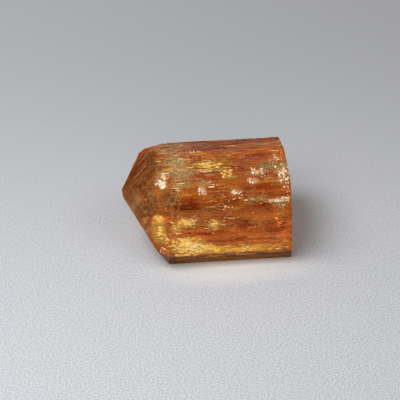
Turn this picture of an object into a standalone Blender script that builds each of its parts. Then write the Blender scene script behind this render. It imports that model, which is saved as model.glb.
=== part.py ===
# A loose imperial topaz crystal lying on one of its prism faces. The c axis runs along X: the
# point is at -X and the end that broke off along the cleavage is at +X. The front is -Y.
import math
import random

import bmesh
import bpy
from mathutils import Matrix, Vector, noise

mm = 0.001

# Prism faces round the c axis. Each turn is in degrees from straight down toward the front,
# and each distance is from the axis.
prism_faces = {
    "rest": (0.0, 4.85 * mm),
    "undercut": (62.1, 7.98 * mm),
    "lower_front": (104.8, 6.33 * mm),
    "upper_front": (124.8, 6.03 * mm),
    "top": (178.5, 4.43 * mm),
    "top_back": (198.1, 4.62 * mm),
    "back": (242.2, 6.34 * mm),
    "back_lower": (285.5, 5.60 * mm),
    "heel": (304.2, 5.60 * mm),
}

# Faces of the point: tilt from -X and turn, both in degrees, then distance from the middle,
# growth strips, their depth, and the turn of those strips within the face in degrees.
point_faces = {
    "point_top": (51.7, 182.3, 6.80 * mm, 15, 0.085 * mm, 27.0),
    "point_front": (46.6, 118.2, 7.26 * mm, 5, 0.040 * mm, -53.0),
    "point_under": (36.1, 8.6, 7.09 * mm, 8, 0.060 * mm, 0.0),
    "point_back": (40.9, 308.4, 6.07 * mm, 9, 0.070 * mm, 24.0),
    "shoulder": (62.8, 238.4, 7.51 * mm, 4, 0.050 * mm, 12.0),
    "corner": (62.3, 62.1, 9.20 * mm, 2, 0.030 * mm, 0.0),
}

base_at = 8.76 * mm  # cleaved end, along X from the middle
tip_reach = 10.5 * mm  # how far the prism runs toward the point before it is cut
stations = 15  # cross-sections along the prism
strip_pitch = 0.62 * mm  # mean width of a growth strip on the prism
strip_depth = 0.15 * mm  # deepest that a strip lies below its face
strip_riser = 0.05 * mm  # width of the small step between two strips
rest_land = 0.44  # middle share of the rest face that stays flat
slab_reach = 9.0 * mm  # half-width of the block that cuts a face of the point
slab_height = 7.0 * mm

# Ledges of the cleaved end: place in YZ as shares of the half-widths, then the radius and
# how far the ledge is broken back.
cleavage_ledges = (
    (0.10, 0.05, 3.1 * mm, 0.07 * mm),
    (0.62, -0.12, 2.6 * mm, 0.19 * mm),
    (0.70, -0.70, 2.3 * mm, 0.33 * mm),
    (-0.35, -0.85, 2.5 * mm, 0.13 * mm),
    (-0.42, 0.62, 1.5 * mm, 0.05 * mm),
)

# Chips: place along X and turn round the axis, then length along X, width and depth in mm.
chips = (
    (-5.0, 140.0, 1.8, 1.7, 0.34),
    (-0.8, 124.6, 0.7, 0.9, 0.18),
    (2.8, 122.5, 1.2, 0.6, 0.18),
    (4.0, 134.8, 0.8, 0.7, 0.15),
    (4.9, 141.5, 1.3, 1.1, 0.20),
    (7.2, 111.6, 2.9, 0.55, 0.22),
    (8.0, 146.0, 0.9, 1.2, 0.14),
    (8.1, 164.0, 0.7, 0.9, 0.12),
    (8.7, 212.0, 0.5, 0.7, 0.24),
    (8.7, 262.0, 0.9, 1.9, 0.42),
    (8.6, 301.0, 1.2, 1.5, 0.36),
    (-2.6, 232.0, 1.5, 0.7, 0.28),
    (3.4, 272.0, 1.8, 0.9, 0.24),
)

chip_fine_from = 1.5 * mm  # chips longer than this get a finer shell
chip_lift = 0.35  # how far a chip's middle stands off the face, as a share of its depth
chip_roughness = 0.22
weld = 0.001 * mm

crystal_colour = (0.62, 0.21, 0.04, 0.45)
crystal_ior = 1.62


def outward_of(tilt, turn):
    # Outward direction of a face tilted from -X and turned round the c axis.
    p = math.radians(tilt)
    t = math.radians(turn)
    return Vector((-math.cos(p), -math.sin(p) * math.sin(t), -math.sin(p) * math.cos(t)))


def section_corners():
    # Corners of the prism's cross-section: corner i is where face i meets the next one.
    faces = list(prism_faces.values())
    corners = []
    for i, (turn, distance) in enumerate(faces):
        next_turn, next_distance = faces[(i + 1) % len(faces)]
        a = outward_of(90, turn)
        b = outward_of(90, next_turn)
        size = a.y * b.z - a.z * b.y
        y = (distance * b.z - next_distance * a.z) / size
        z = (a.y * next_distance - b.y * distance) / size
        corners.append(Vector((0, y, z)))
    return corners


def growth_strips(count, riser, depth, rng):
    # Edges of the flat strips across a face, as (share of its width, depth below it).
    widths = [rng.uniform(0.35, 1.65) for _ in range(count)]
    edges = []
    at = 0.0
    for i, width in enumerate(widths):
        share = width / sum(widths)
        near = rng.uniform(0, depth) if i > 0 else 0.0
        far = rng.uniform(0, depth) if i < count - 1 else 0.0
        edges.append((at + riser, near))
        edges.append((at + share - riser * 0.2, far))
        at += share
    return edges


def rest_strips(riser, depth):
    # The face that the crystal lies on keeps a broad flat land between shallow grooves.
    side = (1 - rest_land) / 2
    return [
        (riser, 0.0),
        (side * 0.45, 0.0),
        (side * 0.55, depth * 0.5),
        (side * 0.90, depth * 0.3),
        (side, 0.0),
        (1 - side, 0.0),
        (1 - side * 0.85, depth * 0.6),
        (1 - side * 0.35, depth * 0.4),
        (1 - side * 0.28, 0.0),
        (1 - riser, 0.0),
    ]


def swell(x, line):
    # How much of its depth a growth strip has at x, so that strips fade out and end.
    return min(max(0.55 + 1.5 * noise.noise(Vector((x / (3.1 * mm), line * 3.7, 0.5))), 0.0), 1.0)


def build_prism(rng):
    # The striated prism, longer than the crystal at both ends.
    corners = section_corners()
    outline = []
    for i, (name, (turn, distance)) in enumerate(prism_faces.items()):
        start = corners[i - 1]
        end = corners[i]
        width = (end - start).length
        riser = strip_riser / width
        if name == "rest":
            edges = rest_strips(riser, strip_depth)
        else:
            edges = growth_strips(max(3, round(width / strip_pitch)), riser, strip_depth, rng)
        outline.append((start, Vector(), 0.0))
        outline += [(start.lerp(end, share), outward_of(90, turn), deep) for share, deep in edges]

    mesh = bmesh.new()
    rings = []
    for k in range(stations + 1):
        x = -tip_reach + (tip_reach + base_at + mm) * k / stations
        if 0 < k < stations:
            x += rng.uniform(-0.3, 0.3) * mm
        ring = []
        for line, (point, outward, deep) in enumerate(outline):
            place = point - outward * deep * swell(x, line // 2)
            ring.append(mesh.verts.new((x, place.y, place.z)))
        rings.append(ring)
    count = len(outline)
    for near, far in zip(rings, rings[1:]):
        for j in range(count):
            n = (j + 1) % count
            mesh.faces.new((near[j], near[n], far[n], far[j]))
    ends = [mesh.faces.new(rings[0]), mesh.faces.new(rings[-1])]
    bmesh.ops.poke(mesh, faces=ends)
    return mesh_object("crystal", mesh)


def mesh_object(name, mesh):
    # A scene object from a bmesh, with every face a triangle that points out.
    bmesh.ops.triangulate(mesh, faces=mesh.faces)
    bmesh.ops.recalc_face_normals(mesh, faces=mesh.faces)
    data = bpy.data.meshes.new(name)
    mesh.to_mesh(data)
    mesh.free()
    made = bpy.data.objects.new(name, data)
    bpy.context.collection.objects.link(made)
    return made


def carve(body, cutter):
    # Cuts one solid from the body and clears the cutter away.
    cut = body.modifiers.new("cut", "BOOLEAN")
    cut.operation = "DIFFERENCE"
    cut.solver = "EXACT"
    cut.object = cutter
    evaluated = body.evaluated_get(bpy.context.evaluated_depsgraph_get())
    carved = bpy.data.meshes.new_from_object(evaluated)
    body.modifiers.remove(cut)
    body.data = carved
    bpy.data.objects.remove(cutter)


def point_slab(name, tilt, turn, distance, strips, depth, strip_turn, rng):
    # A block outside one face of the point. Its inner side carries that face's growth strips.
    outward = outward_of(tilt, turn)
    side = Vector((1, 0, 0)).cross(outward).normalized()
    side = Matrix.Rotation(math.radians(strip_turn), 3, outward) @ side
    grain = outward.cross(side)
    edges = growth_strips(strips * 2, 0.01, depth, rng)
    columns = [(0.0, 0.0)] + edges + [(1.0, 0.0)]
    rows = 6
    mesh = bmesh.new()
    grid = []
    for r in range(rows + 1):
        along = slab_reach * (2 * r / rows - 1)
        line = []
        for c, (share, deep) in enumerate(columns):
            across = slab_reach * (2 * share - 1)
            sunk = deep * swell(along, c // 2 + strips)
            line.append(mesh.verts.new(outward * (distance - sunk) + side * across + grain * along))
        grid.append(line)
    for near, far in zip(grid, grid[1:]):
        for c in range(len(columns) - 1):
            mesh.faces.new((near[c], near[c + 1], far[c + 1], far[c]))
    raised = bmesh.ops.extrude_face_region(mesh, geom=mesh.faces[:])
    lifted = [v for v in raised["geom"] if isinstance(v, bmesh.types.BMVert)]
    bmesh.ops.translate(mesh, verts=lifted, vec=outward * slab_height)
    return mesh_object(name, mesh)


def base_block():
    # The block beyond the cleavage plane.
    mesh = bmesh.new()
    bmesh.ops.create_cube(mesh, size=2 * slab_reach)
    bmesh.ops.translate(mesh, verts=mesh.verts, vec=(base_at + slab_reach, 0, 0))
    return mesh_object("base_block", mesh)


def ledge_block(y, z, radius, depth, rng):
    # A plate with a ragged outline that leaves one ledge of the cleavage end.
    sides = 11
    mesh = bmesh.new()
    ring = []
    for i in range(sides):
        angle = math.tau * i / sides
        out = radius * rng.uniform(0.72, 1.18)
        ring.append(mesh.verts.new((base_at - depth, y + out * math.cos(angle), z + out * math.sin(angle))))
    floor = mesh.faces.new(ring)
    raised = bmesh.ops.extrude_face_region(mesh, geom=[floor])
    lifted = [v for v in raised["geom"] if isinstance(v, bmesh.types.BMVert)]
    bmesh.ops.translate(mesh, verts=lifted, vec=(mm, 0, 0))
    return mesh_object("ledge", mesh)


def surface_point(turn):
    # Where a ray from the axis at this turn leaves the prism, and the face that it leaves by.
    ray = outward_of(90, turn)
    reach = {}
    for name, (face_turn, distance) in prism_faces.items():
        facing = ray.dot(outward_of(90, face_turn))
        if facing > 0.1:
            reach[name] = distance / facing
    name = min(reach, key=reach.get)
    return ray * reach[name], outward_of(90, prism_faces[name][0])


def chip_lump(x, turn, length, width, depth, rng):
    # A rough ellipsoid whose lower side leaves a shell-shaped chip.
    place, outward = surface_point(turn)
    across = Vector((1, 0, 0)).cross(outward)
    mesh = bmesh.new()
    bmesh.ops.create_icosphere(mesh, subdivisions=3 if length > chip_fine_from else 2, radius=1.0)
    seed = Vector((rng.uniform(0, 9), rng.uniform(0, 9), rng.uniform(0, 9)))
    for v in mesh.verts:
        v.co *= 1 + chip_roughness * noise.noise(v.co * 2.1 + seed)
        along = v.co.x * length / 2
        aside = v.co.y * width / 2
        out = v.co.z * depth * (1 + chip_lift) + depth * chip_lift
        v.co = Vector((x + along, 0, 0)) + place + across * aside + outward * out
    return mesh_object("chip", mesh)


def tidy_mesh(body):
    # Welds what the cuts left closer than a micrometre and stands the crystal on z = 0.
    mesh = bmesh.new()
    mesh.from_mesh(body.data)
    bmesh.ops.remove_doubles(mesh, verts=mesh.verts, dist=weld)
    bmesh.ops.dissolve_degenerate(mesh, edges=mesh.edges, dist=weld)
    bmesh.ops.triangulate(mesh, faces=mesh.faces)
    bmesh.ops.recalc_face_normals(mesh, faces=mesh.faces)
    low = Vector([min(v.co[i] for v in mesh.verts) for i in range(3)])
    high = Vector([max(v.co[i] for v in mesh.verts) for i in range(3)])
    middle = (low + high) / 2
    bmesh.ops.translate(mesh, verts=mesh.verts, vec=(-middle.x, -middle.y, -low.z))
    mesh.to_mesh(body.data)
    mesh.free()


def topaz_material():
    material = bpy.data.materials.new("topaz")
    material.use_nodes = True
    shader = material.node_tree.nodes["Principled BSDF"]
    shader.inputs["Base Color"].default_value = (*crystal_colour[:3], 1)
    shader.inputs["Roughness"].default_value = 0.08
    shader.inputs["Metallic"].default_value = 0.0
    shader.inputs["IOR"].default_value = crystal_ior
    shader.inputs["Transmission Weight"].default_value = 1.0
    return material


def build_crystal():
    rng = random.Random(38)
    crystal = build_prism(rng)
    for name, (tilt, turn, distance, strips, depth, strip_turn) in point_faces.items():
        carve(crystal, point_slab(name, tilt, turn, distance, strips, depth, strip_turn, rng))
    carve(crystal, base_block())
    half_y = prism_faces["back"][1]
    half_z = prism_faces["rest"][1]
    for y_share, z_share, radius, depth in cleavage_ledges:
        carve(crystal, ledge_block(y_share * half_y, z_share * half_z, radius, depth, rng))
    for x, turn, length, width, depth in chips:
        carve(crystal, chip_lump(x * mm, turn, length * mm, width * mm, depth * mm, rng))
    tidy_mesh(crystal)
    crystal.data.materials.clear()
    crystal.data.materials.append(topaz_material())
    return crystal


for old in list(bpy.data.objects):
    bpy.data.objects.remove(old)
build_crystal()
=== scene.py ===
import math
import random

import bpy
import numpy as np
from mathutils import Matrix, Vector, noise
from mathutils.bvhtree import BVHTree


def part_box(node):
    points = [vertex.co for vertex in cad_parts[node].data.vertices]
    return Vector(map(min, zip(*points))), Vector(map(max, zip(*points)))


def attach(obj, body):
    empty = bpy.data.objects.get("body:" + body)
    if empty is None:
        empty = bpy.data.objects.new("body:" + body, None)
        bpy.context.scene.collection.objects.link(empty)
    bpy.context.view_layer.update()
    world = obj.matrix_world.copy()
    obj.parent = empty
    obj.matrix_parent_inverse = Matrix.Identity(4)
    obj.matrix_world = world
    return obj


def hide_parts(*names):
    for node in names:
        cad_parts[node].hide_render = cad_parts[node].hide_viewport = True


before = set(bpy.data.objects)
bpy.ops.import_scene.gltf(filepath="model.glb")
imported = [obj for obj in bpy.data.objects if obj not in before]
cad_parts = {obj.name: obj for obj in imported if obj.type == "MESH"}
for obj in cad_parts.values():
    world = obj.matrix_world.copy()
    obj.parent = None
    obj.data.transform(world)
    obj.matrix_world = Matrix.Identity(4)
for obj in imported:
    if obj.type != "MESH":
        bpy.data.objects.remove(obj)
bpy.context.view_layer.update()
mm = 0.001

# Where the camera stands. Marks on the crystal are placed by looking along its rays.
cameraLook = {
    "aim": (-0.39 * mm, 0.08 * mm, 4.09 * mm),
    "turn": 5.87,  # degrees from straight in front, toward the point
    "elevation": 34.5,
    "distance": 258 * mm,
    "viewWidth": 44.0 * mm,
    "imageSize": 400,
}


def viewAxes():
    turn, rise = math.radians(cameraLook["turn"]), math.radians(cameraLook["elevation"])
    back = Vector((-math.sin(turn) * math.cos(rise), -math.cos(turn) * math.cos(rise), math.sin(rise)))
    right = Vector((math.cos(turn), -math.sin(turn), 0))
    return right, back.cross(right), back


def deselectAll():
    if bpy.context.mode != "OBJECT":
        bpy.ops.object.mode_set(mode="OBJECT")
    bpy.ops.object.select_all(action="DESELECT")


def activate(piece):
    deselectAll()
    piece.select_set(True)
    bpy.context.view_layer.objects.active = piece


def plug(tree, value, socket):
    if isinstance(value, bpy.types.NodeSocket):
        tree.links.new(value, socket)
    else:
        socket.default_value = value


def addNode(tree, kind, inputs=None, **settings):
    node = tree.nodes.new(kind)
    for name, value in settings.items():
        setattr(node, name, value)
    for name, value in (inputs or {}).items():
        plug(tree, value, node.inputs[name])
    return node


# Body of the crystal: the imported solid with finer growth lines
bodyShape = {
    "edgeAcross": 0.17 * mm,  # longest edge across the growth lines
    "edgeAlong": 0.90 * mm,  # longest edge along the c axis
    "lineAcross": 0.34 * mm,
    "lineAlong": 1.5 * mm,
    "lineDepth": 0.003 * mm,
    "hiddenAcross": 0.50 * mm,
    "hiddenAlong": 0.9 * mm,
    "hiddenDepth": 0.04 * mm,
    "pointGrain": 0.30 * mm,
    "pointDepth": 0.006 * mm,
    "undercut": 1.5 * mm,  # height of the front's undercut
    "undercutFacing": -0.3,  # its normals' y lies below this
    "restLift": 0.05 * mm,  # what lies lower is left flat
    "sharpFrom": 22,  # degrees
    "rounds": 7,  # of cutting long edges in two
}


def copyOfSolid():
    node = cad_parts["crystal"]
    body = node.copy()
    body.data = node.data.copy()
    body.name = "topazCrystal"
    bpy.context.collection.objects.link(body)
    activate(body)
    bpy.ops.object.mode_set(mode="EDIT")
    bpy.ops.mesh.select_all(action="SELECT")
    bpy.ops.mesh.remove_doubles(threshold=0.0005 * mm)
    bpy.ops.object.mode_set(mode="OBJECT")
    return body


def vertexRows(mesh, field):
    values = np.empty(len(mesh.vertices) * 3)
    mesh.vertices.foreach_get(field, values)
    return values.reshape(-1, 3)


def longEdges(mesh, across, along):
    points = vertexRows(mesh, "co")
    ends = np.empty(len(mesh.edges) * 2, dtype=np.int64)
    mesh.edges.foreach_get("vertices", ends)
    ends = ends.reshape(-1, 2)
    span = points[ends[:, 1]] - points[ends[:, 0]]
    return (np.hypot(span[:, 1], span[:, 2]) > across) | (np.abs(span[:, 0]) > along)


def refine(body, across, along):
    for _ in range(bodyShape["rounds"]):
        mesh = body.data
        chosen = longEdges(mesh, across, along)
        if not chosen.any():
            break
        mesh.polygons.foreach_set("select", np.zeros(len(mesh.polygons), dtype=bool))
        mesh.vertices.foreach_set("select", np.zeros(len(mesh.vertices), dtype=bool))
        mesh.edges.foreach_set("select", chosen)
        bpy.ops.object.mode_set(mode="EDIT")
        bpy.ops.mesh.select_mode(type="EDGE")
        bpy.ops.mesh.subdivide(number_cuts=1, ngon=False)
        bpy.ops.mesh.select_all(action="SELECT")
        bpy.ops.mesh.quads_convert_to_tris()
        bpy.ops.object.mode_set(mode="OBJECT")


def vertexGroup(body, name, wanted):
    group = body.vertex_groups.new(name=name)
    group.add([v.index for v in body.data.vertices if wanted(v)], 1.0, "REPLACE")
    activate(body)
    bpy.ops.object.mode_set(mode="WEIGHT_PAINT")
    bpy.ops.object.vertex_group_smooth(group_select_mode="ACTIVE", factor=0.5, repeat=4)
    bpy.ops.object.mode_set(mode="OBJECT")


def displace(body, group, scales, turn, depth):
    # sinks the surface by up to depth, never outward
    bpy.ops.object.empty_add()
    guide = bpy.context.object
    guide.scale = scales
    guide.rotation_euler = turn
    bpy.context.view_layer.update()
    activate(body)
    texture = bpy.data.textures.new(group, "CLOUDS")
    texture.noise_scale = 1.0
    texture.noise_basis = "IMPROVED_PERLIN"
    lines = body.modifiers.new(group, "DISPLACE")
    lines.texture = texture
    lines.texture_coords = "OBJECT"
    lines.texture_coords_object = guide
    lines.vertex_group = group
    lines.mid_level = 1.0
    lines.strength = depth
    bpy.ops.object.modifier_apply(modifier=lines.name)
    bpy.data.objects.remove(guide)


def isHidden(vertex):
    # at the back or beneath, but not on the point
    normal = vertex.normal
    return normal.x > -0.3 and normal.y > -0.2 and (normal.z < -0.1 or normal.y > 0.3)


def makeBody():
    body = copyOfSolid()
    refine(body, bodyShape["edgeAcross"], bodyShape["edgeAlong"])
    lift = bodyShape["restLift"]
    vertexGroup(body, "sides", lambda v: abs(v.normal.x) < 0.3 and v.co.z > lift)
    vertexGroup(body, "point", lambda v: v.normal.x < -0.4 and v.co.z > lift)
    vertexGroup(body, "hidden", isHidden)
    across, along = bodyShape["lineAcross"], bodyShape["lineAlong"]
    displace(body, "sides", (along, across, across), (0, 0, 0), bodyShape["lineDepth"])
    across, along = bodyShape["hiddenAcross"], bodyShape["hiddenAlong"]
    displace(body, "hidden", (along, across, across), (0, 0, 0), bodyShape["hiddenDepth"])
    grain = bodyShape["pointGrain"]
    displace(body, "point", (grain * 4, grain, grain), (0.6, 0.8, 0.3), bodyShape["pointDepth"])
    activate(body)
    bpy.ops.object.shade_smooth_by_angle(angle=math.radians(bodyShape["sharpFrom"]))
    for name in ("sides", "point", "hidden"):
        body.vertex_groups.remove(body.vertex_groups[name])
    return body


# Places on the surface
def surfacePoint(skin, pixel):
    # where the camera's ray through an image point first meets the crystal
    right, up, back = viewAxes()
    step = cameraLook["viewWidth"] / cameraLook["imageSize"]
    middle = cameraLook["imageSize"] / 2
    eye = Vector(cameraLook["aim"]) + back * cameraLook["distance"]
    ray = right * (pixel[0] - middle) * step + up * (middle - pixel[1]) * step - back * cameraLook["distance"]
    return skin.ray_cast(eye, ray.normalized())[:2]


crystalLow, crystalHigh = (Vector(corner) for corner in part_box("crystal"))


def sidePoint(skin, x, turn):
    # surface at a place along the c axis and a turn about it, zero at the top
    middle = (crystalLow + crystalHigh) / 2
    axis = Vector((x, middle.y, middle.z))
    outward = Vector((0, -math.sin(turn), math.cos(turn)))
    return skin.ray_cast(axis + outward * 20 * mm, -outward)[:2]


def surfaceFrame(place, facing, spin=0.0, tilt=0.0, sink=0.0):
    # local X runs along the c axis where the face allows it, local Z out of the face
    out = Vector(facing).normalized()
    along = Vector((1, 0, 0)) - out * out.x
    if along.length < 0.3:
        along = Vector((0, 1, 0)) - out * out.y
    along.normalize()
    turned = Matrix((along, out.cross(along), out)).transposed()
    turned = turned @ Matrix.Rotation(spin, 3, "Z") @ Matrix.Rotation(tilt, 3, "X")
    return Matrix.Translation(Vector(place) - out * sink) @ turned.to_4x4()


def imageHeading(facing, heading):
    # unit vector on the surface that runs at this angle in the camera's image
    right, up, back = viewAxes()
    ahead = right * math.cos(heading) + up * math.sin(heading)
    return (ahead - back * ahead.dot(facing) / max(back.dot(facing), 0.1)).normalized()


def onUndercut(place, facing):
    return place.z < bodyShape["undercut"] and facing.y < bodyShape["undercutFacing"]


def portion(value, low, high):
    return min(max((value - low) / (high - low), 0), 1)


def rowsOf(columns, marks):
    # each mark's values by the names of its columns, the last of which may be left out
    return [dict(zip(columns, mark)) for mark in marks.values()]


def joinCopies(name, template, places, shades):
    # one mesh of many copies of a small template, each with its own shade value
    source = template.data
    corners = np.array([v.co for v in source.vertices])
    faces = [tuple(face.vertices) for face in source.polygons]
    points, polygons = [], []
    for count, place in enumerate(places):
        matrix = np.array(place)
        points.append(corners @ matrix[:3, :3].T + matrix[:3, 3])
        start = count * len(corners)
        polygons += [tuple(start + corner for corner in face) for face in faces]
    mesh = bpy.data.meshes.new(name)
    mesh.from_pydata(np.concatenate(points).tolist(), [], polygons)
    shade = mesh.attributes.new("shade", "FLOAT", "POINT")
    shade.data.foreach_set("value", np.repeat(np.array(shades, dtype=np.float32), len(corners)))
    piece = bpy.data.objects.new(name, mesh)
    bpy.context.collection.objects.link(piece)
    bpy.data.objects.remove(template)
    return piece


# Colour zones of the crystal, the gold ones partly a painted glow, and pale windows that are partly painted
# highlights
# at: image point, long and wide: half-lengths along and across the c axis in mm
zoneColumns = ("at", "long", "wide", "strength")
zoneMarks = {
    # gold: the crystal's yellow, and in part a painted glow of light that passes through it and out
    "gold": {
        "lowerCorner": ((188, 245), 1.9, 0.9, 1.2),
        "pointFacet": ((158, 219), 1.2, 0.5, 1.2),
        "heel": ((175, 229), 0.6, 0.6, 0.9),
        "pointFacetLow": ((159, 231), 0.9, 1.3, 1.1),
        "frontLeft": ((186, 223), 1.4, 0.5, 1.0),
        "frontMiddle": ((214, 225), 0.8, 0.6, 1.0),
        "top": ((207, 164), 1.7, 0.6, 1.0),
        "topMiddle": ((220, 169), 0.9, 0.4, 0.9),
        "topFar": ((230, 177), 0.8, 0.5, 0.9),
        "topNear": ((206, 170), 1.1, 0.4, 0.9),
        "lowerRim": ((228, 249), 6.0, 0.45, 1.0),
    },
    "tan": {
        "topLeft": ((171, 143), 1.5, 1.0, 1.0),
        "topLeftLow": ((168, 151), 1.2, 0.9, 1.0),
        "shoulder": ((172, 162), 1.5, 1.1, 0.95),
        "shoulderLow": ((180, 173), 1.3, 0.8, 1.0),
        "chip": ((164, 171), 0.9, 0.7, 0.9),
        "pointEdge": ((137, 204), 0.8, 1.3, 0.7),
        "pointEdgeLow": ((147, 228), 0.4, 0.7, 0.7),
        "junction": ((184, 182), 0.9, 0.6, 1.0),
        "middle": ((205, 182), 0.9, 0.4, 0.9),
        "heel": ((176, 227), 0.4, 0.7, 0.6),
        "topEnd": ((270, 165), 1.2, 0.7, 0.9),
        "end": ((285, 171), 0.8, 1.6, 1.0),
        "endLow": ((282, 201), 1.2, 0.5, 1.0),
        "farMiddle": ((256, 199), 1.3, 0.30, 0.9),
    },
    "rust": {
        "topSpot": ((199, 175), 0.6, 0.4, 1.0),
        "farSpot": ((240, 168), 0.8, 0.6, 1.0),
        "topEnd": ((256, 156), 1.8, 0.8, 0.8),
        "backStrip": ((222, 149), 4.2, 0.8, 1.1),
        "backEdge": ((235, 142), 5.4, 0.7, 1.0),
        "deepOrange": ((266, 188), 1.4, 0.7, 1.2),
        "middleEnd": ((250, 188), 1.6, 0.6, 0.8),
        "middle": ((222, 192), 1.4, 0.5, 0.8),
        "leftPatch": ((186, 204), 1.3, 0.8, 1.0),
        "longLine": ((216, 211), 1.8, 0.5, 0.9),
        "streaks": ((258, 209), 2.4, 0.5, 0.9),
        "frontPatch": ((243, 225), 1.1, 0.8, 0.9),
        "lowLine": ((205, 234), 1.0, 0.2, 0.8),
        "low": ((230, 239), 2.2, 0.5, 0.9),
        "lowEnd": ((275, 228), 1.6, 1.2, 0.7),
        "pointUpper": ((134, 172), 1.5, 1.7, 0.6),
    },
    "smoke": {
        "pointTip": ((131, 180), 1.4, 1.8, 1.15),
        "pointUpper": ((146, 162), 1.5, 1.8, 1.25),
        "pointMiddle": ((145, 184), 1.2, 1.3, 1.15),
        "pointEdge": ((129, 199), 0.9, 1.1, 0.9),
        "pointEdgeLow": ((143, 215), 1.0, 1.3, 1.4),
        "facetTop": ((151, 203), 1.4, 1.0, 1.15),
        "ridge": ((157, 164), 1.1, 1.2, 1.2),
        "junction": ((168, 199), 1.2, 0.9, 1.0),
        "leftPatch": ((188, 208), 1.5, 0.7, 1.0),
        "curls": ((227, 201), 0.4, 0.3, 0.6),
        "middleEnd": ((246, 192), 0.7, 0.4, 0.6),
        "backDash": ((198, 149), 1.2, 0.4, 1.1),
        "backEnd": ((262, 139), 1.8, 0.5, 1.1),
        "backStrip": ((214, 146), 2.2, 0.7, 1.0),
        "topEnd": ((243, 150), 1.6, 0.4, 0.8),
        "top": ((214, 172), 0.8, 0.4, 0.7),
    },
    # window: pale patches of chips and bruises, in part painted highlights
    "window": {
        "shoulderChipHighlight": ((161, 181), 0.6, 0.8, 1.0),
        "topBruiseHighlight": ((202, 190.5), 0.4, 0.5, 1.0),
        "frontBruiseHighlight": ((235, 192.5), 0.6, 0.3, 1.0),
        "farBruiseHighlight": ((258, 172), 0.9, 0.6, 0.9),
        "farBruiseHighlightLow": ((253, 180.5), 0.6, 0.4, 0.9),
        "endStreak": ((276, 200.5), 1.3, 0.25, 0.9),
        "lowerCorner": ((190, 248), 1.0, 0.5, 0.9),
    },
}
zoneKinds = ("gold", "tan", "rust", "window", "smoke")
zoneReach = 1.5  # half-lengths


def zoneWeights(points):
    # points in metres, one row each; one column for each kind of zone
    weights = np.zeros((len(points), len(zoneKinds)))
    for column, kind in enumerate(zoneKinds):
        for mark in rowsOf(zoneColumns, zoneMarks[kind]):
            place, _ = surfacePoint(skin, mark["at"])
            away = (points - np.array(place)) / mm
            across = np.hypot(away[:, 1], away[:, 2]) / mark["wide"]
            reach = np.hypot(away[:, 0] / mark["long"], across)
            weight = mark["strength"] * np.clip(zoneReach - reach, 0, 1)
            weights[:, column] = np.maximum(weights[:, column], weight)
    return weights


# Paint by the direction of a face. Far and dull go by its angle to the camera and not by the
# crystal's own sides; they are stored on the mesh, so they stay where they are in other views.
paintLook = {
    "pointBelow": -0.45,  # x of the normals on the point's faces
    "pointFade": 0.2,
    "farMiddle": 0.5,
    "farFade": 5,
    "dullFrom": 1.2,
    "dullFade": 4,
    "dullBelow": -3.5 * mm,  # along the c axis, toward the point
    "dullSpan": 1.5 * mm,
    "edgeFrom": 1.5,
    "edgeAngle": 0.05,  # cosine of a face seen edge-on
    "edgeFade": 10,
}


def paintLayer(mesh, name, values):
    layer = mesh.attributes.new(name, "FLOAT", "POINT")
    layer.data.foreach_set("value", np.clip(values, 0, 1).astype(np.float32))


def paintZones(body):
    # red, green, blue and alpha of the attribute hold gold, tan, rust and window
    mesh = body.data
    look = paintLook
    points, facing = vertexRows(mesh, "co"), vertexRows(mesh, "normal")
    weights = zoneWeights(points)
    zones = mesh.color_attributes.new("zones", "FLOAT_COLOR", "POINT")
    zones.data.foreach_set("color", weights[:, :4].ravel())
    smoke = mesh.attributes.new("smoke", "FLOAT", "POINT")
    smoke.data.foreach_set("value", weights[:, 4].astype(np.float32))
    # side: 0 on the point's faces, 1 on the prism's
    paintLayer(mesh, "side", (facing[:, 0] - look["pointBelow"]) / look["pointFade"])
    # under: 1 on the undercut of the front, which the material paints dark as shade
    low = points[:, 2] < bodyShape["undercut"]
    paintLayer(mesh, "under", low & (facing[:, 1] < bodyShape["undercutFacing"]))
    # far: 1 on the faces turned from the camera
    toward = facing @ np.array(viewAxes()[2])
    paintLayer(mesh, "far", look["farMiddle"] - toward * look["farFade"])
    # dull: 1 on the faces that the camera sees edge-on, and on those turned from it near the point
    nearPoint = np.clip((look["dullBelow"] - points[:, 0]) / look["dullSpan"], 0, 1)
    turned = np.clip(look["dullFrom"] - toward * look["dullFade"], 0, 1)
    edgeOn = look["edgeFrom"] - np.abs(toward - look["edgeAngle"]) * look["edgeFade"]
    paintLayer(mesh, "dull", np.maximum(nearPoint * turned, edgeOn))


# Topaz: clear and amber, with iron-stained growth bands near its surface
topazLook = {
    "ior": 1.62,
    "through": 0.82,  # the rest is the milky part of the glass
    "absorbColor": (0.98, 0.66, 0.22, 1),
    "absorbDensity": 60.0,
    "rust": (0.52, 0.075, 0.007, 1),
    "amber": (0.80, 0.20, 0.020, 1),
    "tan": (0.62, 0.50, 0.21, 1),
    "gold": (1.0, 0.74, 0.14, 1),
    # pale colour of chips and bruises, in part a painted highlight
    "clear": (1.0, 0.74, 0.42, 1),
    "honey": (1.0, 0.64, 0.22, 1),  # over the faces turned from the camera
    # painted shade: the undercut faces down into shadow and is painted near-black
    "undercutShade": (0.070, 0.032, 0.002, 1),  # over the undercut
    "smoke": (0.24, 0.058, 0.009, 1),
    "darkFleck": (0.32, 0.05, 0.006, 1),
    "paleFleck": (1.0, 0.76, 0.30, 1),
    "shine": (1.0, 0.56, 0.25, 1),
    "gloss": 0.1,
    "roughness": 0.03,
    "raggedRoughness": 0.08,
    "dullRoughness": 0.24,
    "relief": 0.003 * mm,
    "pointCalm": 0.3,  # how much of the noise is left on the point's faces
    "rustBands": (0.30, 0.46),
    "goldBands": (0.58, 0.72),
    "smokeShare": 0.8,
    "hatched": (0.2, 0.7),
    "busy": (0.42, 0.60),
    "rustCalm": 0.7,
    "crazed": (0.38, 0.58),
    "steps": (0.42, 0.58),
    "farShare": (0.5, 0.4),  # everywhere, and more on the steps
    "undercutShadeShare": 0.92,
}
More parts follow.
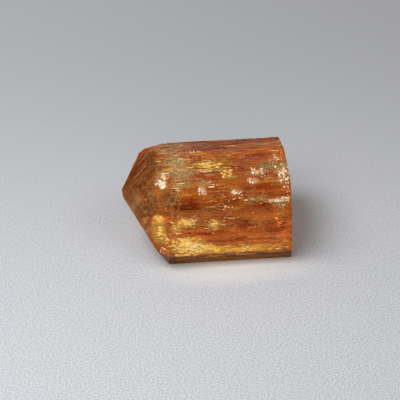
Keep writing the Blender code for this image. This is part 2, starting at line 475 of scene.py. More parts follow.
zoneEdges = {  # share of noise, and the sum where a zone begins and is full
    "gold": (0.9, 0.65, 1.25),
    "tan": (0.4, 0.28, 1.0),
    "rust": (0.9, 0.65, 1.25),
    "window": (0.9, 0.65, 1.25),
    "smoke": (0.4, 0.30, 1.15),
}
topazNoise = {
    "ragged": {"size": (0.6 * mm, 0.30 * mm, 0.30 * mm), "detail": 3, "seed": 31.0},
    "bands": {"size": (1.7 * mm, 0.75 * mm, 0.75 * mm), "detail": 2},
    "patches": {"size": (1.8 * mm, 0.7 * mm, 0.7 * mm), "detail": 2, "seed": 14.0},
    "crackle": {"size": (0.24 * mm, 0.13 * mm, 0.13 * mm), "detail": 2, "rough": 0.7, "seed": 22.0},
    "crazed": {"size": (2.4 * mm, 1.1 * mm, 1.1 * mm), "detail": 1, "seed": 47.0},
    "steps": {"size": (3.0 * mm, 0.5 * mm, 0.5 * mm), "detail": 3, "seed": 63.0},
    "relief": {"size": (1.2 * mm, 0.16 * mm, 0.16 * mm), "detail": 2, "seed": 9.0},
}
cellSize = (0.50 * mm, 0.15 * mm, 0.15 * mm)
stainLook = {
    "paleHatch": {"range": (0.50, 0.58), "share": 0.6, "color": "tan"},
    "darkHatch": {"range": (0.48, 0.40), "share": 0.7, "color": "smoke"},
    "darkFleck": {"range": (0.26, 0.18), "share": 0.55, "color": "darkFleck"},
    "paleFleck": {"range": (0.80, 0.86), "share": 0.55, "color": "paleFleck"},
    "darkCrackle": {"range": (0.44, 0.36), "share": 0.45, "color": "darkFleck"},
    "paleCrackle": {"range": (0.56, 0.64), "share": 0.45, "color": "paleFleck"},
}
hatchLook = {"at": (136, 172), "heading": 49, "along": 3.0 * mm, "across": 0.16 * mm}


def stretchedNoise(tree, size, detail=3.0, rough=0.55, seed=0.0, turn=(0, 0, 0)):
    # noise with its own size along each axis, in metres
    spot = addNode(tree, "ShaderNodeTexCoord").outputs["Object"]
    spot = addNode(tree, "ShaderNodeMapping", {"Vector": spot, "Rotation": turn}).outputs["Vector"]
    shift, scale = (seed, seed * 1.7, seed * 0.6), [1 / part for part in size]
    stretch = {"Vector": spot, "Location": shift, "Scale": scale}
    spot = addNode(tree, "ShaderNodeMapping", stretch).outputs["Vector"]
    grain = {"Vector": spot, "Scale": 1.0, "Detail": detail, "Roughness": rough}
    return addNode(tree, "ShaderNodeTexNoise", grain).outputs["Fac"]


def cellNoise(tree, size):
    # a random value for each cell of a stretched crackle
    spot = addNode(tree, "ShaderNodeTexCoord").outputs["Object"]
    stretch = {"Vector": spot, "Scale": [1 / part for part in size]}
    spot = addNode(tree, "ShaderNodeMapping", stretch).outputs["Vector"]
    crackle = addNode(tree, "ShaderNodeTexVoronoi", {"Vector": spot, "Scale": 1.0})
    parts = addNode(tree, "ShaderNodeSeparateColor", {"Color": crackle.outputs["Color"]})
    return parts.outputs["Red"]


def between(tree, source, low, high):
    ends = {"Value": source, "From Min": low, "From Max": high}
    return addNode(tree, "ShaderNodeMapRange", ends, interpolation_type="SMOOTHSTEP").outputs["Result"]


def reckon(tree, operation, first, second):
    return addNode(tree, "ShaderNodeMath", {0: first, 1: second}, operation=operation).outputs["Value"]


def times(tree, first, second):
    return reckon(tree, "MULTIPLY", first, second)


def plus(tree, first, second):
    return reckon(tree, "ADD", first, second)


def painted(tree, name):
    return addNode(tree, "ShaderNodeAttribute", attribute_name=name).outputs["Fac"]


def blendColor(tree, factor, first, second, mode="MIX"):
    ends = {"Factor": factor, "A": first, "B": second}
    return addNode(tree, "ShaderNodeMix", ends, data_type="RGBA", blend_type=mode).outputs["Result"]


def paintedZones(tree):
    zones = addNode(tree, "ShaderNodeAttribute", attribute_name="zones")
    parts = addNode(tree, "ShaderNodeSeparateColor", {"Color": zones.outputs["Color"]})
    channels = (*(parts.outputs[name] for name in ("Red", "Green", "Blue")), zones.outputs["Alpha"])
    return dict(zip(zoneKinds, (*channels, painted(tree, "smoke"))))


def zoneWeight(tree, zones, kind, ragged):
    # a painted zone with an edge broken by noise
    share, low, full = zoneEdges[kind]
    return between(tree, plus(tree, zones[kind], times(tree, ragged, share)), low, full)


def calmed(tree, name, side):
    # one of the topaz's noises, drawn in toward its middle on the point's faces
    left = topazLook["pointCalm"]
    amount = plus(tree, times(tree, side, 1 - left), left)
    field = stretchedNoise(tree, **topazNoise[name])
    return plus(tree, times(tree, reckon(tree, "SUBTRACT", field, 0.5), amount), 0.5)


def stain(tree, color, kind, field, mask):
    # a colour wherever the noise is in its range, inside a mask
    look = stainLook[kind]
    weight = times(tree, times(tree, between(tree, field, *look["range"]), mask), look["share"])
    return blendColor(tree, weight, color, topazLook[look["color"]])


def hatchNoise(tree):
    # fine striae that cross the point's upper face at a slant
    _, facing = surfacePoint(skin, hatchLook["at"])
    slant = imageHeading(facing, math.radians(hatchLook["heading"]))
    turn = slant.rotation_difference(Vector((1, 0, 0))).to_euler()
    fine = hatchLook["across"]
    return stretchedNoise(tree, (hatchLook["along"], fine, fine), rough=0.6, seed=5.0, turn=turn)


def topazColor(tree, zones, ragged, side, busy):
    # amber, crossed by bands along the c axis and changed by the zones
    look = topazLook
    bands = calmed(tree, "bands", side)
    color = blendColor(tree, between(tree, bands, *look["rustBands"]), look["rust"], look["amber"])
    color = blendColor(tree, between(tree, bands, *look["goldBands"]), color, look["gold"])
    # the gold zone is in part a painted glow of light passing through the crystal
    for kind in ("rust", "tan", "gold"):
        color = blendColor(tree, zoneWeight(tree, zones, kind, ragged), color, look[kind])
    smoky = times(tree, zoneWeight(tree, zones, "smoke", ragged), look["smokeShare"])
    color = blendColor(tree, smoky, color, look["smoke"])

    hatch = hatchNoise(tree)
    point = reckon(tree, "SUBTRACT", 1.0, side)
    point = times(tree, point, between(tree, zones["smoke"], *look["hatched"]))
    for kind in ("paleHatch", "darkHatch"):
        color = stain(tree, color, kind, hatch, point)

    # flecks: short cells along the c axis; crackle: grains a little finer
    cells = cellNoise(tree, cellSize)
    for kind in ("darkFleck", "paleFleck"):
        color = stain(tree, color, kind, cells, busy)
    crackle = stretchedNoise(tree, **topazNoise["crackle"])
    crazed = between(tree, stretchedNoise(tree, **topazNoise["crazed"]), *look["crazed"])
    crazed = times(tree, crazed, side)
    for kind in ("darkCrackle", "paleCrackle"):
        color = stain(tree, color, kind, crackle, crazed)
    # pale windows, in part painted highlights
    color = blendColor(tree, zoneWeight(tree, zones, "window", ragged), color, look["clear"])

    # the faces turned from the camera, and the undercut, painted dark as shade
    steps = between(tree, stretchedNoise(tree, **topazNoise["steps"]), *look["steps"])
    everywhere, more = look["farShare"]
    veiled = plus(tree, times(tree, steps, more), everywhere)
    color = blendColor(tree, times(tree, painted(tree, "far"), veiled), color, look["honey"])
    under = times(tree, painted(tree, "under"), look["undercutShadeShare"])
    return blendColor(tree, under, color, look["undercutShade"])


def topazMaterial():
    mat = bpy.data.materials.new("imperialTopaz")
    mat.use_nodes = True
    tree = mat.node_tree
    look = topazLook
    shader = tree.nodes["Principled BSDF"]
    zones = paintedZones(tree)
    side = painted(tree, "side")
    ragged = calmed(tree, "ragged", side)

    # busy patches, where the flecks and the relief are
    patches = stretchedNoise(tree, **topazNoise["patches"])
    busy = times(tree, between(tree, patches, *look["busy"]), side)
    calm = reckon(tree, "MAXIMUM", zones["tan"], times(tree, zones["rust"], look["rustCalm"]))
    busy = times(tree, busy, reckon(tree, "SUBTRACT", 1.0, calm))
    color = topazColor(tree, zones, ragged, side, busy)
    tree.links.new(color, shader.inputs["Base Color"])

    rough = plus(tree, times(tree, ragged, look["raggedRoughness"]), look["roughness"])
    rough = plus(tree, rough, times(tree, painted(tree, "dull"), look["dullRoughness"]))
    tree.links.new(rough, shader.inputs["Roughness"])
    shader.inputs["Transmission Weight"].default_value = look["through"]
    shader.inputs["IOR"].default_value = look["ior"]
    shader.inputs["Specular Tint"].default_value = look["shine"]
    shader.inputs["Specular IOR Level"].default_value = look["gloss"]

    relief = times(tree, stretchedNoise(tree, **topazNoise["relief"]), busy)
    bump = addNode(tree, "ShaderNodeBump", {"Strength": 1.0, "Distance": look["relief"], "Height": relief})
    tree.links.new(bump.outputs["Normal"], shader.inputs["Normal"])

    absorb = addNode(tree, "ShaderNodeVolumeAbsorption")
    absorb.inputs["Color"].default_value = look["absorbColor"]
    absorb.inputs["Density"].default_value = look["absorbDensity"]
    tree.links.new(absorb.outputs["Volume"], tree.nodes["Material Output"].inputs["Volume"])
    return mat


mottleShare = 0.3


def shadedMaterial(name, stops, roughness, grain):
    # colour by each copy's own shade value, mottled by a fine noise
    mat = bpy.data.materials.new(name)
    mat.use_nodes = True
    tree = mat.node_tree
    shader = tree.nodes["Principled BSDF"]
    mottle = stretchedNoise(tree, (grain, grain, grain), detail=3)
    value = plus(tree, painted(tree, "shade"), times(tree, mottle, mottleShare))
    value = reckon(tree, "SUBTRACT", value, mottleShare / 2)
    ramp = addNode(tree, "ShaderNodeValToRGB", {"Fac": value})
    for count, (place, color) in enumerate(stops):
        stop = ramp.color_ramp.elements[count] if count < 2 else ramp.color_ramp.elements.new(place)
        stop.position = place
        stop.color = color
    tree.links.new(ramp.outputs["Color"], shader.inputs["Base Color"])
    shader.inputs["Specular Tint"].default_value = topazLook["shine"]
    rough = plus(tree, times(tree, mottle, mottleShare), roughness)
    tree.links.new(rough, shader.inputs["Roughness"])
    return mat


def finishPiece(piece, material):
    piece.data.materials.clear()
    piece.data.materials.append(material)
    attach(piece, "root")
    print(piece.name, len(piece.data.polygons), "faces")


body = makeBody()
skin = BVHTree.FromObject(body, bpy.context.evaluated_depsgraph_get())
paintZones(body)
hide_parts("crystal")
finishPiece(body, topazMaterial())

growthLimits = {"facing": 0.3, "endGap": 0.2 * mm}


def takesGrowth(place, facing, length, x):
    # on the prism's faces but not on the undercut, and short of the cleaved end
    if place is None or abs(facing.x) > growthLimits["facing"] or onUndercut(place, facing):
        return False
    return x + length <= crystalHigh.x - growthLimits["endGap"]


# Needles grown into the crystal along its c axis, a little under the surface
needleShape = {
    "count": 200,
    "length": (0.25 * mm, 1.5 * mm),
    "width": (0.04 * mm, 0.11 * mm),
    "thickness": 0.035 * mm,
    "shorten": (0.4, 1.0),
    "depth": (0.0 * mm, 0.40 * mm),
    "tilt": 0.04,
    "roll": (-1, 1),
    "endMargin": 1.3 * mm,
    "seed": 11,
}
needleColors = [
    (0.0, (0.16, 0.02, 0.005, 1)),
    (0.25, (0.55, 0.12, 0.02, 1)),
    (0.4, (0.98, 0.60, 0.18, 1)),
    (1.0, (1.0, 0.90, 0.62, 1)),
]


def needleTemplate():
    deselectAll()
    bpy.ops.mesh.primitive_cylinder_add(vertices=5, radius=0.5, depth=1.0, rotation=(0, math.pi / 2, 0))
    template = bpy.context.object
    bpy.ops.object.transform_apply(location=True, rotation=True, scale=True)
    bpy.ops.object.mode_set(mode="EDIT")
    bpy.ops.mesh.select_all(action="DESELECT")
    bpy.ops.object.mode_set(mode="OBJECT")
    for face in template.data.polygons:
        face.select = abs(face.normal.x) > 0.9
    bpy.ops.object.mode_set(mode="EDIT")
    bpy.ops.mesh.select_mode(type="FACE")
    bpy.ops.mesh.inset(thickness=0.3, use_even_offset=False)
    bpy.ops.transform.resize(value=(1.4, 1.0, 1.0))
    bpy.ops.object.mode_set(mode="OBJECT")
    return template


def growNeedles():
    pick = random.Random(needleShape["seed"])
    margin = needleShape["endMargin"]
    places, shades = [], []
    while len(places) < needleShape["count"]:
        x = pick.uniform(crystalLow.x + 3 * margin, crystalHigh.x - margin / 2)
        place, facing = sidePoint(skin, x, pick.uniform(-math.pi, math.pi))
        length = pick.uniform(*needleShape["length"]) * pick.uniform(*needleShape["shorten"])
        if not takesGrowth(place, facing, length, x):
            continue
        sink = pick.uniform(*needleShape["depth"])
        tilt = needleShape["tilt"]
        matrix = surfaceFrame(place, facing, pick.gauss(0, tilt), pick.uniform(*needleShape["roll"]), sink)
        size = (length, pick.uniform(*needleShape["width"]), needleShape["thickness"])
        places.append(matrix @ Matrix.Diagonal(size + (1,)))
        shades.append(pick.random())
    return joinCopies("growthNeedles", needleTemplate(), places, shades)


finishPiece(growNeedles(), shadedMaterial("needleIron", needleColors, 0.35, 0.2 * mm))

# Slivers of growth steps that break the surface, pale ones that are in part painted highlights standing for
# glints on the steps, and iron-stained ones
sliverShape = {
    "count": 620,
    "length": (0.15 * mm, 0.85 * mm),
    "width": (0.045 * mm, 0.11 * mm),
    "shorten": (0.4, 1.0),
    "thickness": 0.03 * mm,
    "sink": (-0.004 * mm, 0.012 * mm),
    "spin": 0.12,
    "startMargin": 3 * mm,
    "endMargin": 0.3 * mm,
    "lowest": 0.3 * mm,
    "clumpLong": 2.2 * mm,
    "clumpWide": 0.7 * mm,
    "crowded": (0.42, 0.62),
    "paler": (0.35, 0.65),
    "chance": {"crowd": 0.14, "gold": 0.50, "rust": 0.1, "tan": 0.10},
    "shade": {"base": 0.40, "clump": 0.40, "gold": 0.30, "tan": 0.15, "rust": 0.35, "spread": 0.22},
    "seed": 41,
}
# the pale stops are in part painted highlights, glints on the growth steps
sliverAndGlintColors = [
    (0.0, (0.07, 0.012, 0.004, 1)),
    (0.30, (0.26, 0.04, 0.008, 1)),
    (0.50, (0.62, 0.20, 0.03, 1)),
    (0.70, (1.0, 0.55, 0.08, 1)),
    (0.86, (1.0, 0.74, 0.22, 1)),
    (1.0, (1.0, 0.90, 0.62, 1)),
]


def clumped(place, seed):
    # 0 to 1, high inside clumps that are long on the c axis
    wide = sliverShape["clumpWide"]
    spot = Vector((place.x / sliverShape["clumpLong"], place.y / wide, place.z / wide))
    return 0.5 + 0.5 * noise.noise(spot + Vector((seed, 0, 0)))


def sliverSpots():
    pick = random.Random(sliverShape["seed"])
    spots = []
    while len(spots) < 4 * sliverShape["count"]:
        x = pick.uniform(crystalLow.x + sliverShape["startMargin"], crystalHigh.x - sliverShape["endMargin"])
        place, facing = sidePoint(skin, x, pick.uniform(-math.pi, math.pi))
        length = pick.uniform(*sliverShape["length"]) * pick.uniform(*sliverShape["shorten"])
        if not takesGrowth(place, facing, length, x) or place.z < sliverShape["lowest"]:
            continue
        spots.append((place, facing, length))
    return spots


def growSlivers():
    pick = random.Random(sliverShape["seed"] + 1)
    spots = sliverSpots()
    weights = zoneWeights(np.array([spot[0] for spot in spots]))
    chance, tone = sliverShape["chance"], sliverShape["shade"]
    places, shades = [], []
    for (place, facing, length), (gold, tan, rust, _, _) in zip(spots, weights):
        crowd = portion(clumped(place, 3.0), *sliverShape["crowded"])
        likely = chance["crowd"] * crowd + chance["gold"] * gold
        if pick.random() > likely - chance["rust"] * rust + chance["tan"] * tan:
            continue
        shade = tone["base"] + tone["clump"] * portion(clumped(place, 17.0), *sliverShape["paler"])
        stained = tone["gold"] * gold + tone["tan"] * tan - tone["rust"] * rust
        shade += stained + pick.gauss(0, tone["spread"])
        spin = pick.gauss(0, sliverShape["spin"])
        matrix = surfaceFrame(place, facing, spin, 0, pick.uniform(*sliverShape["sink"]))
        size = (length, pick.uniform(*sliverShape["width"]), sliverShape["thickness"])
        places.append(matrix @ Matrix.Diagonal(size + (1,)))
        shades.append(min(max(shade, 0), 1))
    return joinCopies("growthSliversAndGlints", needleTemplate(), places, shades)


finishPiece(growSlivers(), shadedMaterial("sliverAndGlintColors", sliverAndGlintColors, 0.3, 0.2 * mm))

# Films: thin plates that break the surface, gold ones that are in part a painted glow of light passing out of
# the crystal, and iron-red ones a little inside
filmShape = {"sides": 7, "thickness": 0.06}  # thickness as a share of the half-width
markSpread = 0.45  # of a mark's half-lengths
goldShape = {"sink": (-0.008 * mm, 0.0), "spin": 0.3, "tilt": 0.12, "narrow": (0.15, 0.40), "seed": 71}
ironShape = {"sink": (-0.008 * mm, 0.006 * mm), "spin": 0.3, "tilt": 0.12, "narrow": (0.15, 0.5), "seed": 72}
# at: image point, long and wide: half-lengths in mm, size: plates' half-length in mm,
# shade: part of the colour ramp, lift: mm out of the surface
filmColumns = ("at", "long", "wide", "count", "size", "shade", "lift")
# painted glow in part: lit gold plates where light passes out of the crystal, at the lower corner, edge and
# rim and on the point's facet; the under ones lie on the undercut
goldMarks = {
    "lowerCorner": ((189, 245.5), 1.40, 0.68, 125, (0.18, 0.52), (0.45, 1)),
    "lowerEdge": ((184, 255.5), 1.70, 0.16, 60, (0.08, 0.26), (0.1, 0.8)),
    "rimLeft": ((206, 247), 1.30, 0.35, 48, (0.12, 0.36), (0.3, 0.85)),
    "heelLow": ((167, 241), 0.40, 0.55, 26, (0.06, 0.20), (0.2, 0.8)),
    "lowerRim": ((224, 248.5), 5.40, 0.26, 96, (0.10, 0.34), (0.12, 0.6)),
    "facet": ((160, 218.5), 0.75, 0.26, 40, (0.10, 0.28), (0.2, 0.8)),
    "facetLow": ((160, 231), 0.45, 0.85, 40, (0.10, 0.28), (0.15, 0.8)),
    "heel": ((175, 229), 0.50, 0.50, 26, (0.06, 0.20), (0.1, 0.7)),
    "frontLeft": ((186, 223.5), 1.25, 0.50, 50, (0.08, 0.26), (0.2, 0.8)),
    "frontMiddle": ((214, 225), 0.60, 0.50, 44, (0.05, 0.16), (0.2, 0.8)),
    "top": ((209, 164.5), 2.00, 0.55, 42, (0.08, 0.32), (0, 0.7)),
    "topFar": ((226, 173), 0.80, 0.50, 28, (0.08, 0.26)),
    "middle": ((211, 184), 1.20, 0.30, 8, (0.06, 0.18)),
    "farMiddle": ((248, 199), 2.60, 0.45, 26, (0.05, 0.16), (0.2, 1)),
    "underMiddle": ((215, 255.8), 1.50, 0.12, 80, (0.10, 0.32), (0, 0.2)),
    "underRight": ((242, 253.8), 1.60, 0.12, 80, (0.10, 0.32), (0, 0.2)),
    "underEnd": ((271, 251.2), 1.50, 0.12, 70, (0.10, 0.32), (0, 0.2)),
}
ironMarks = {
    "redSpot": ((187.5, 251.0), 0.28, 0.14, 11, (0.06, 0.13), (0.8, 1), 0.03),
    "topSpot": ((199, 175), 0.40, 0.22, 22, (0.08, 0.20)),
    "farSpot": ((240, 168), 0.40, 0.45, 26, (0.08, 0.20)),
    "curls": ((227, 199), 0.70, 0.45, 26, (0.06, 0.18)),
    "leftPatch": ((190, 204), 0.90, 0.50, 22, (0.08, 0.22), (0, 0.45)),
    "streaks": ((264, 207), 1.50, 0.35, 38, (0.06, 0.22), (0, 0.8)),
    "frontPatch": ((244, 224), 1.00, 0.70, 34, (0.08, 0.24)),
    "lowLine": ((205, 234), 1.10, 0.12, 18, (0.08, 0.25)),
    "backEdge": ((268, 139), 1.20, 0.15, 16, (0.08, 0.25)),
    "backDash": ((197, 149), 0.50, 0.10, 8, (0.08, 0.20)),
    "deepOrange": ((266, 188), 0.80, 0.40, 16, (0.06, 0.20), (0.2, 0.9)),
}


def plateTemplate():
    deselectAll()
    thickness = filmShape["thickness"]
    bpy.ops.mesh.primitive_cylinder_add(vertices=filmShape["sides"], radius=1.0, depth=thickness)
    template = bpy.context.object
    bpy.ops.object.mode_set(mode="EDIT")
    bpy.ops.mesh.select_all(action="SELECT")
    bpy.ops.transform.vertex_random(offset=0.3, seed=3)
    bpy.ops.transform.resize(value=(1.0, 1.0, 0.4))
    bpy.ops.object.mode_set(mode="OBJECT")
    return template


def scatterMarks(marks, shape):
    # places and shades for copies strewn over each mark
    pick = random.Random(shape["seed"])
    step = cameraLook["viewWidth"] / cameraLook["imageSize"] / mm
    places, shades = [], []
    for mark in rowsOf(filmColumns, marks):
        for _ in range(mark["count"]):
            across = mark["long"] * pick.gauss(0, markSpread) / step
            rise = mark["wide"] * pick.gauss(0, markSpread) / step
            place, facing = surfacePoint(skin, (mark["at"][0] + across, mark["at"][1] - rise))
            if place is None:
                continue
            size = pick.uniform(*mark["size"]) * mm
            sink = pick.uniform(*shape["sink"]) - mark.get("lift", 0) * mm
            spin, tilt = pick.gauss(0, shape["spin"]), pick.gauss(0, shape["tilt"])
            matrix = surfaceFrame(place, facing, spin, tilt, sink)
            places.append(matrix @ Matrix.Diagonal((size, size * pick.uniform(*shape["narrow"]), size, 1)))
            shades.append(pick.uniform(*mark.get("shade", (0, 1))))
    return places, shades


goldColors = [
    (0.0, (0.48, 0.19, 0.03, 1)),
    (0.3, (0.88, 0.42, 0.06, 1)),
    (0.6, (1.0, 0.67, 0.15, 1)),
    (1.0, (1.0, 0.90, 0.48, 1)),
]
ironColors = [
    (0.0, (0.14, 0.008, 0.005, 1)),
    (0.6, (0.34, 0.018, 0.008, 1)),
    (1.0, (0.58, 0.045, 0.013, 1)),
]
goldPlaces = scatterMarks(goldMarks, goldShape)
goldPiece = joinCopies("goldFilmsAndGlow", plateTemplate(), *goldPlaces)
finishPiece(goldPiece, shadedMaterial("goldFilmAndGlow", goldColors, 0.3, 0.2 * mm))
ironPlaces = scatterMarks(ironMarks, ironShape)
ironPiece = joinCopies("ironFilms", plateTemplate(), *ironPlaces)
finishPiece(ironPiece, shadedMaterial("ironFilm", ironColors, 0.35, 0.2 * mm))

# Crushed pale flakes where the surface is bruised or chipped, in part painted highlights: pale lit flakes
# where white glints are
flakeShape = {
    "sides": 7,
    "flat": 0.22,
    "sink": (0.0, 0.05 * mm),
    "spin": 3.0,
    "tilt": 0.35,
    "narrow": (0.4, 1.0),
    "seed": 23,
}
flakeColors = [
    (0.0, (0.60, 0.34, 0.15, 1)),
    (0.3, (0.88, 0.64, 0.38, 1)),
    (0.6, (0.98, 0.84, 0.64, 1)),
    (1.0, (1.0, 0.95, 0.86, 1)),
]
# marks as for the films
# painted highlights in part: the flakes at the shoulder chip, the top, front and far bruises and the end
# streak stand for white glints as well as crushed chips
flakeMarks = {
    "shoulderChipHighlight": ((164, 177), 0.38, 0.32, 38, (0.05, 0.14), (0, 0.6)),
    "shoulderChipHighlightLow": ((162, 184.5), 0.52, 0.48, 86, (0.05, 0.17)),
    "topBruiseHighlight": ((202, 190.5), 0.40, 0.45, 40, (0.03, 0.12)),
    "frontBruiseHighlight": ((235, 192.5), 0.60, 0.22, 22, (0.05, 0.17)),
    "farBruiseHighlight": ((258, 172), 0.85, 0.45, 44, (0.04, 0.15)),
    "farBruiseHighlightLow": ((252, 181), 0.80, 0.32, 22, (0.04, 0.14)),
    "endStreakLow": ((269, 202), 0.60, 0.05, 16, (0.02, 0.06)),
    "endStreak": ((276, 200.3), 0.80, 0.11, 70, (0.04, 0.12)),
    "endStreakTip": ((284, 198.3), 0.50, 0.18, 56, (0.03, 0.12)),
    "endBruiseTop": ((277, 158), 0.50, 0.55, 22, (0.04, 0.13)),
    "endBruise": ((283, 175), 0.65, 1.35, 120, (0.03, 0.13)),
    "endRim": ((288, 189), 0.25, 1.60, 52, (0.03, 0.09)),
    "endSpecks": ((271, 167), 1.00, 0.80, 60, (0.025, 0.08)),
    "endLowSpecks": ((280, 206), 0.80, 0.60, 26, (0.025, 0.07)),
    "backEdge": ((194, 152), 0.80, 0.15, 20, (0.04, 0.12)),
    "middleBruise": ((226, 207), 0.70, 0.25, 18, (0.03, 0.10)),
    "heelChip": ((163, 249), 0.35, 0.50, 10, (0.05, 0.15)),
    "specks": ((228, 180), 5.5, 2.2, 60, (0.025, 0.06)),
    "lowSpecks": ((230, 230), 5.5, 1.6, 26, (0.025, 0.06)),
}


def flakeTemplate():
    deselectAll()
    thickness = 2 * flakeShape["flat"]
    bpy.ops.mesh.primitive_cylinder_add(vertices=flakeShape["sides"], radius=1.0, depth=thickness)
    template = bpy.context.object
    for face in template.data.polygons:
        face.select = face.normal.z > 0.9
    bpy.ops.object.mode_set(mode="EDIT")
    bpy.ops.mesh.select_mode(type="FACE")
    bpy.ops.mesh.inset(thickness=0.35, use_even_offset=False)
    bpy.ops.transform.translate(value=(0.1, 0.05, 0.12))
    bpy.ops.mesh.select_all(action="SELECT")
    bpy.ops.transform.vertex_random(offset=0.2, seed=5)
    bpy.ops.object.mode_set(mode="OBJECT")
    return template


flakePlaces = scatterMarks(flakeMarks, flakeShape)
flakePiece = joinCopies("crushedFlakesAndHighlights", flakeTemplate(), *flakePlaces)
finishPiece(flakePiece, shadedMaterial("paleFlakeAndHighlight", flakeColors, 0.3, 0.12 * mm))

# Fine wrinkles: threads that wander over the surface, pale ones and iron-dark ones
threadShape = {
    "radius": 0.019 * mm,
    "step": 0.10 * mm,
    "sides": 1,
    "spread": 0.35,  # radians, between the headings of one mark's threads
    "scatter": 0.5,  # of a mark's half-lengths
    "thinThick": (0.3, 1.1),
}
# at: image point, long and wide: half-lengths in image points, steps: length of a thread,
# heading: degrees from the image's right, wander: radians a step
threadColumns = ("at", "long", "wide", "count", "steps", "heading", "wander")
paleThreadMarks = {
    "junction": ((173, 196), 11, 26, 54, (4, 14), 75, 0.24),
    "shoulder": ((176, 160), 15, 13, 60, (4, 12), 15, 0.24),
    "junctionTop": ((179, 172), 15, 12, 105, (5, 15), 40, 0.32),
    "heel": ((172, 234), 8, 20, 13, (5, 16), 75, 0.4),
    "top": ((225, 160), 40, 14, 26, (3, 10), 4, 0.14),
    "front": ((234, 196), 44, 10, 28, (3, 10), 4, 0.16),
    "low": ((230, 226), 50, 16, 18, (3, 10), 4, 0.14),
    "end": ((281, 172), 8, 24, 24, (3, 11), 75, 0.3),
    "endStreak": ((274, 200.7), 5, 0.7, 7, (8, 20), 11, 0.03),
    "hatch": ((143, 166), 12, 12, 3, (8, 24), 49, 0.06),
    "longLine": ((206, 208), 8, 1, 4, (10, 22), 3, 0.04),
    "lowLine": ((272, 236), 18, 1, 4, (12, 30), 3, 0.04),
}
darkThreadMarks = {
    "hatch": ((143, 166), 12, 12, 6, (8, 24), 49, 0.06),
    "facet": ((152, 219), 8, 5, 4, (6, 12), 20, 0.2),
    "facetEdge": ((168, 221), 3, 14, 14, (6, 14), 80, 0.3),
    "longLine": ((205, 210), 9, 1, 6, (12, 26), 3, 0.04),
    "lowLine": ((205, 233), 9, 1, 5, (8, 20), 4, 0.06),
    "curls": ((228, 201), 9, 5, 12, (4, 10), 20, 0.6),
    "heel": ((186, 250), 14, 5, 10, (4, 12), 10, 0.3),
    "top": ((225, 158), 40, 16, 16, (4, 14), 4, 0.08),
    "low": ((235, 236), 50, 10, 10, (4, 14), 4, 0.1),
}


def wanderThread(curve, pick, mark):
    scatter = threadShape["scatter"]
    across, rise = pick.gauss(0, scatter) * mark["long"], pick.gauss(0, scatter) * mark["wide"]
    place, facing = surfacePoint(skin, (mark["at"][0] + across, mark["at"][1] + rise))
    if place is None:
        return
    heading = math.radians(mark["heading"])
    heading += pick.gauss(0, threadShape["spread"]) * min(mark["wander"] * 3, 1)
    ahead = imageHeading(facing, heading)
    points, turn = [], 0.0
    for _ in range(pick.randint(*mark["steps"])):
        points.append(place)
        turn = 0.6 * turn + pick.gauss(0, mark["wander"])
        ahead = Matrix.Rotation(turn, 3, facing) @ (ahead - facing * ahead.dot(facing)).normalized()
        place, facing = skin.find_nearest(place + ahead * threadShape["step"])[:2]
    line = curve.splines.new("POLY")
    line.points.add(len(points) - 1)
    for point, spot in zip(line.points, points):
        point.co = (*spot, 1)
        point.radius = pick.uniform(*threadShape["thinThick"])


def layThreads(name, marks, seed, thick):
    pick = random.Random(seed)
    curve = bpy.data.curves.new(name, "CURVE")
    curve.dimensions = "3D"
    curve.bevel_depth = threadShape["radius"] * thick
    curve.bevel_resolution = threadShape["sides"]
    curve.use_fill_caps = True
    for mark in rowsOf(threadColumns, marks):
        for _ in range(mark["count"]):
            wanderThread(curve, pick, mark)
    piece = bpy.data.objects.new(name, curve)
    bpy.context.collection.objects.link(piece)
    activate(piece)
    bpy.ops.object.convert(target="MESH")
    return bpy.context.object


paleThreadColors = [
    (0.0, (0.52, 0.36, 0.16, 1)),
    (1.0, (0.92, 0.80, 0.52, 1)),
]
darkThreadColors = [
    (0.0, (0.12, 0.02, 0.005, 1)),
    (1.0, (0.40, 0.09, 0.02, 1)),
]
paleThreadPiece = layThreads("paleThreads", paleThreadMarks, 57, 1.0)
finishPiece(paleThreadPiece, shadedMaterial("paleThread", paleThreadColors, 0.4, 0.5 * mm))
darkThreadPiece = layThreads("darkThreads", darkThreadMarks, 58, 1.5)
finishPiece(darkThreadPiece, shadedMaterial("darkThread", darkThreadColors, 0.4, 0.5 * mm))

# Floor of pale paper
floorLook = {
    "size": 0.9,
    "drop": 0.02 * mm,
    "middle": (0.506, 0.527, 0.572, 1),
    "blurNear": 0.40,  # how much of the grain is lost close by, all of it far away
    "light": (0.762, 0.793, 0.860, 1),
    "dark": (0.225, 0.235, 0.256, 1),
    "grain": 0.18 * mm,
    "grainEdge": (0.3, 0.7),
    "roughness": 0.9,
    "gloss": 0.2,
    "nearFar": (-30 * mm, 45 * mm),
    # painted shade: the paper is darker toward the back, as if the light fell off there
    "farShade": 0.74,
    "glow": (0.80, 0.765, 0.735, 1),
    "glowReach": (1.4, 0.3),
    "glows": {  # painted, as if light were thrown through the crystal
        "wide": {"at": (2.5 * mm, -7.4 * mm, 0), "size": (8.5 * mm, 2.8 * mm, 3.0 * mm), "strength": 0.40},
        "close": {"at": (3.2 * mm, -6.6 * mm, 0), "size": (6.6 * mm, 0.9 * mm, 3.0 * mm), "strength": 0.9},
    },
}


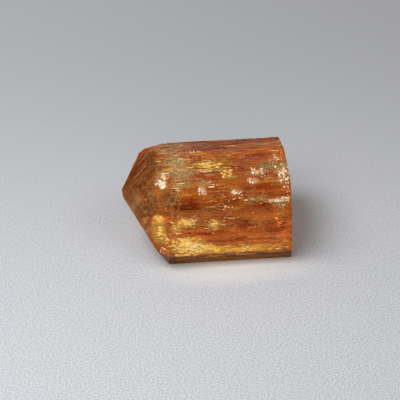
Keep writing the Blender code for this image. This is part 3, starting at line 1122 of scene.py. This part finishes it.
def paperMaterial():
    mat = bpy.data.materials.new("palePaper")
    mat.use_nodes = True
    tree = mat.node_tree
    shader = tree.nodes["Principled BSDF"]
    grain = stretchedNoise(tree, (floorLook["grain"],) * 3, detail=3, rough=0.7)
    grain = between(tree, grain, *floorLook["grainEdge"])
    spot = addNode(tree, "ShaderNodeTexCoord").outputs["Object"]
    parts = addNode(tree, "ShaderNodeSeparateXYZ", {"Vector": spot})
    far = between(tree, parts.outputs["Y"], *floorLook["nearFar"])
    color = blendColor(tree, grain, floorLook["dark"], floorLook["light"])
    blur = plus(tree, times(tree, far, 1 - floorLook["blurNear"]), floorLook["blurNear"])
    color = blendColor(tree, blur, color, floorLook["middle"])
    # painted shade: darker toward the back
    tone = (floorLook["farShade"],) * 3 + (1,)
    color = blendColor(tree, far, color, blendColor(tree, 1.0, color, tone, "MULTIPLY"))
    for glow in floorLook["glows"].values():
        spread = {"Vector": spot, "Location": glow["at"], "Scale": glow["size"]}
        place = addNode(tree, "ShaderNodeMapping", spread, vector_type="TEXTURE")
        reach = addNode(tree, "ShaderNodeVectorMath", {0: place.outputs["Vector"]}, operation="LENGTH")
        near = between(tree, reach.outputs["Value"], *floorLook["glowReach"])
        color = blendColor(tree, times(tree, near, glow["strength"]), color, floorLook["glow"])
    tree.links.new(color, shader.inputs["Base Color"])
    shader.inputs["Roughness"].default_value = floorLook["roughness"]
    shader.inputs["Specular IOR Level"].default_value = floorLook["gloss"]
    return mat


def makeFloor():
    deselectAll()
    bpy.ops.mesh.primitive_plane_add(size=floorLook["size"], location=(0, 0, -floorLook["drop"]))
    floor = bpy.context.object
    floor.name = "floor"
    floor.data.materials.append(paperMaterial())


makeFloor()
print("floor")

# Light and camera
lightLook = {
    "key": {"at": (-0.098, 0.015, 0.18), "size": 0.12, "power": 0.275, "color": (1.0, 0.99, 0.97)},
    "fill": {"at": (-0.068, -0.088, 0.135), "size": 0.10, "power": 0.12, "color": (1.0, 0.99, 0.97)},
    "top": {"at": (0.0, -0.055, 0.17), "size": 0.12, "power": 0.02, "color": (0.97, 0.98, 1.0)},
}
skyLook = {
    "dim": 0.03,
    "glows": {  # narrow: cosines where a glow begins and is full
        "back": {
            "toward": (0, 0.588, 0.809), "narrow": (0.883, 0.970), "strength": 0.78,
            "color": (1, 0.90, 0.76, 1),
        },
        "right": {
            "toward": (0.567, -0.241, 0.788), "narrow": (0.925, 0.975), "strength": 1.9,
            "color": (1, 1, 1, 1),
        },
        "front": {
            "toward": (0, -0.978, 0.208), "narrow": (0.933, 0.982), "strength": 3.0,
            "color": (1, 0.64, 0.40, 1),
        },
    },
}


def addLight(name, look):
    light = bpy.data.lights.new(name, "AREA")
    light.shape = "DISK"
    light.size = look["size"]
    light.energy = look["power"]
    light.color = look["color"]
    lamp = bpy.data.objects.new(name, light)
    bpy.context.collection.objects.link(lamp)
    lamp.location = look["at"]
    lamp.rotation_euler = Vector(look["at"]).to_track_quat("Z", "Y").to_euler()


def addCamera():
    right, up, back = viewAxes()
    camera = bpy.data.objects.new("camera", bpy.data.cameras.new("camera"))
    bpy.context.collection.objects.link(camera)
    camera.location = Vector(cameraLook["aim"]) + back * cameraLook["distance"]
    camera.rotation_euler = Matrix((right, up, back)).transposed().to_euler()
    camera.data.lens = camera.data.sensor_width * cameraLook["distance"] / cameraLook["viewWidth"]
    camera.data.clip_start = 0.01
    bpy.context.scene.camera = camera


def addSky():
    world = bpy.data.worlds.new("studio")
    world.use_nodes = True
    tree = world.node_tree
    spot = addNode(tree, "ShaderNodeTexCoord").outputs["Generated"]
    strength, color = skyLook["dim"], (1, 1, 1, 1)
    for look in skyLook["glows"].values():
        toward = Vector(look["toward"]).normalized()
        dot = addNode(tree, "ShaderNodeVectorMath", {0: spot, 1: toward}, operation="DOT_PRODUCT")
        glow = between(tree, dot.outputs["Value"], *look["narrow"])
        strength = plus(tree, strength, times(tree, glow, look["strength"]))
        color = blendColor(tree, glow, color, look["color"])
    tree.links.new(strength, tree.nodes["Background"].inputs["Strength"])
    tree.links.new(color, tree.nodes["Background"].inputs["Color"])
    bpy.context.scene.world = world


for name, look in lightLook.items():
    addLight(name, look)
addCamera()
addSky()
bpy.context.scene.view_settings.view_transform = "Standard"
print("light and camera")
